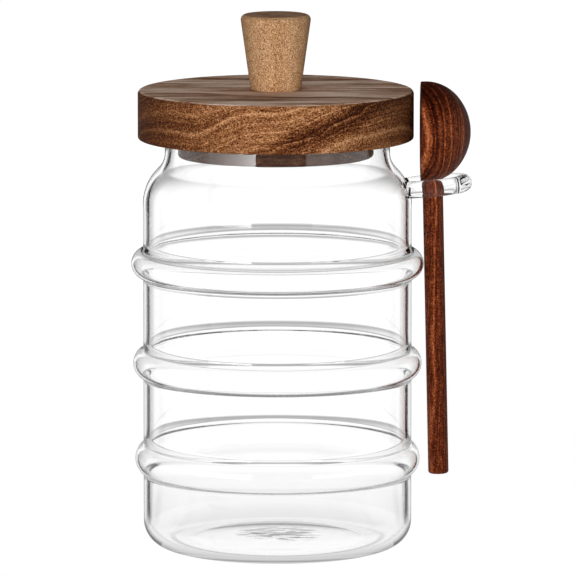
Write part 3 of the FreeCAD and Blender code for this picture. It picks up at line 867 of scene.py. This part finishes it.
def lid_finish():
    wood = Timber("lid wood", "lid")
    low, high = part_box("lid")
    half = (high.z - low.z) / MM / 2
    top = wood.z.fade(half - TOP_FROM, half - TOP_WHOLE)
    dip = (wood.x + DIP_ASIDE) * (wood.x + DIP_ASIDE) * DIP
    drift = wood.grain(0.03, detail=0.0) * 16.0 + wood.grain(0.22, along_x=0.25, detail=0.0) * 1.2
    depth = wood.z - (1.0 - top) * dip + wood.y * 0.5 + drift
    bands = wood.layers(depth, 5.0, 4.0)
    lines = wood.layers(depth, 1.1, 2.0)
    fibre = wood.grain(1.1, along_x=0.10, detail=3.0)
    speck = wood.grain(2.6, along_x=0.6, detail=1.0, rough=0.7)
    wander = wood.grain(0.12, along_x=0.4, detail=1.0) * 7.0
    climb = wood.z - (wood.x - STREAK_ASIDE) * STREAK_CLIMB + wander
    streak = climb.fade(1.0, 7.0, 1.0, 0.0) * climb.fade(-7.0, -1.0) * wood.x.fade(-8.0, 6.0)
    streaky = streak * (1.0 - top) * (wood.layers(climb, 1.4, 3.0) * 1.2 + 0.28)
    # Painted shade: the round edge darker towards both ends, more to the left.
    painted_end_shade = (wood.x - END_SHADE_LEAST_AT) * (wood.x - END_SHADE_LEAST_AT) * PAINTED_END_SHADE_STRENGTH
    tone = 0.55 + bands * 1.0 + lines * 0.35 + fibre * 0.6 + speck * 1.5 - streaky - painted_end_shade
    sweep = wood.grain(0.16, along_x=0.12, detail=2.0)
    top_tone = 0.5 + bands * 1.1 + sweep * 1.5 + fibre * 0.8 + speck * 0.4
    # The top takes the pale shades: part dry wood, part painted sheen.
    colour = wood.graph.blend(top, wood.ramp(tone, LID_SHADES), wood.ramp(top_tone, DRY_TOP_AND_PAINTED_SHEEN_SHADES))
    wood.finish(colour, fibre + speck, 0.65, 0.12, 0.25)


lid_finish()
print("lid:", len(LID_SHADES) + len(DRY_TOP_AND_PAINTED_SHEEN_SHADES), "shades")

# %% [markdown]
# ## The plug
#
# The plug is drawn in darker shades than the lid, and only its edge and a little of its
# underside show through the neck, so its layers are drawn as fine level lines.

# %% Plug finish
PLUG_SHADES = [(0.15, (34, 17, 10)), (0.40, (66, 41, 28)), (0.60, (96, 66, 48)),
               (0.85, (140, 106, 86))]


def plug_finish():
    wood = Timber("plug wood", "lid_plug")
    depth = wood.z + wood.y * 0.4 + wood.grain(0.05) * 4.0
    bands = wood.layers(depth, 2.2, 3.0)
    fibre = wood.grain(1.6, along_x=0.12, detail=3.0)
    tone = 0.45 + bands * 0.9 + fibre * 0.8 + wood.grain(1.5, detail=1.0) * 0.3
    wood.finish(wood.ramp(tone, PLUG_SHADES), fibre, 0.5, 0.1, 0.25)


plug_finish()
print("plug:", len(PLUG_SHADES), "shades")

# %% [markdown]
# ## The knob
#
# The knob is cut across the grain from a paler block, so its side is all fine pores and hardly
# any lines.  Its top shows the darker end of the fibres.

# %% Knob finish
KNOB_SHADES = [(0.10, (112, 72, 40)), (0.32, (158, 112, 70)), (0.50, (190, 144, 102)),
               (0.70, (216, 172, 130)), (0.90, (238, 202, 164))]
CAP_SHADES = [(0.25, (122, 84, 60)), (0.50, (168, 130, 104)), (0.80, (206, 170, 144))]
CAP_FROM = 0.35
CAP_WHOLE = 0.1


def knob_finish():
    wood = Timber("knob wood", "lid_knob")
    low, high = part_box("lid_knob")
    half = (high.z - low.z) / MM / 2
    top = wood.z.fade(half - CAP_FROM, half - CAP_WHOLE)
    depth = wood.x + wood.y * 0.3 + wood.grain(0.08) * 6.0
    bands = wood.layers(depth, 6.0, 2.0)
    fibre = wood.grain(1.3, along_z=0.35, detail=2.0)
    speck = wood.grain(2.6, detail=1.0, rough=0.7)
    tone = 0.54 + bands * 0.30 + fibre * 0.45 + speck * 1.9
    cap_tone = 0.5 + wood.grain(0.9, along_x=0.2, detail=2.0) * 1.2 + speck * 0.3
    colour = wood.graph.blend(top, wood.ramp(tone, KNOB_SHADES), wood.ramp(cap_tone, CAP_SHADES))
    wood.finish(colour, fibre + speck, 0.65, 0.15, 0.25)


knob_finish()
print("knob:", len(KNOB_SHADES) + len(CAP_SHADES), "shades")

# %% [markdown]
# ## The spoon
#
# The spoon is carved along the grain from a dark red board.  Its layers are wide cylinders
# whose pith stands in front and to the left of the bowl, so they cross the bowl's back as
# upright bows and run down the handle as straight lines.  The figure is quieter and a little
# darker on the handle.  The bowl's crown is darkened: painted shade, where the light from
# the front falls less on its top.

# %% Spoon finish
SPOON_SHADES = [(0.12, (34, 12, 7)), (0.34, (74, 31, 17)), (0.52, (122, 60, 34)),
                (0.70, (176, 98, 60)), (0.90, (222, 142, 96))]
PITH_AHEAD = 34.0
PITH_ASIDE = 44.0
HANDLE_END = 34.0
BOWL_START = 40.0
HANDLE_QUIET = 0.35
HANDLE_DARK = 0.04
# The bowl's crown is darkened between these heights: painted shade.
CROWN_FROM = 58.0
CROWN_TO = 74.0
CROWN_PAINTED_SHADE = 0.20


def spoon_finish():
    wood = Timber("spoon wood", "spoon")
    ahead = wood.y + PITH_AHEAD
    aside = wood.x + PITH_ASIDE
    wander = wood.grain(0.10, along_z=0.25) * 4.0
    depth = (ahead * ahead + aside * aside).root() + wander
    bands = wood.layers(depth, 2.6, 3.0)
    lines = wood.layers(depth, 0.8, 2.0)
    fibre = wood.grain(1.3, along_z=0.15, detail=3.0)
    speck = wood.grain(1.8, detail=1.0, rough=0.7)
    # Painted shade: the bowl's crown darker, where the light from the front falls less on its top.
    crown = wood.z.fade(CROWN_FROM, CROWN_TO) * CROWN_PAINTED_SHADE
    handle = wood.z.fade(HANDLE_END, BOWL_START, 1.0, 0.0)
    figure = (bands * 1.15 + lines * 0.55) * (1.0 - handle * HANDLE_QUIET)
    tone = 0.45 + figure + fibre * 0.6 + speck * 0.8 - crown - handle * HANDLE_DARK
    wood.finish(wood.ramp(tone, SPOON_SHADES), fibre, 0.5, 0.15, 0.25)


spoon_finish()
print("spoon:", len(SPOON_SHADES), "shades")
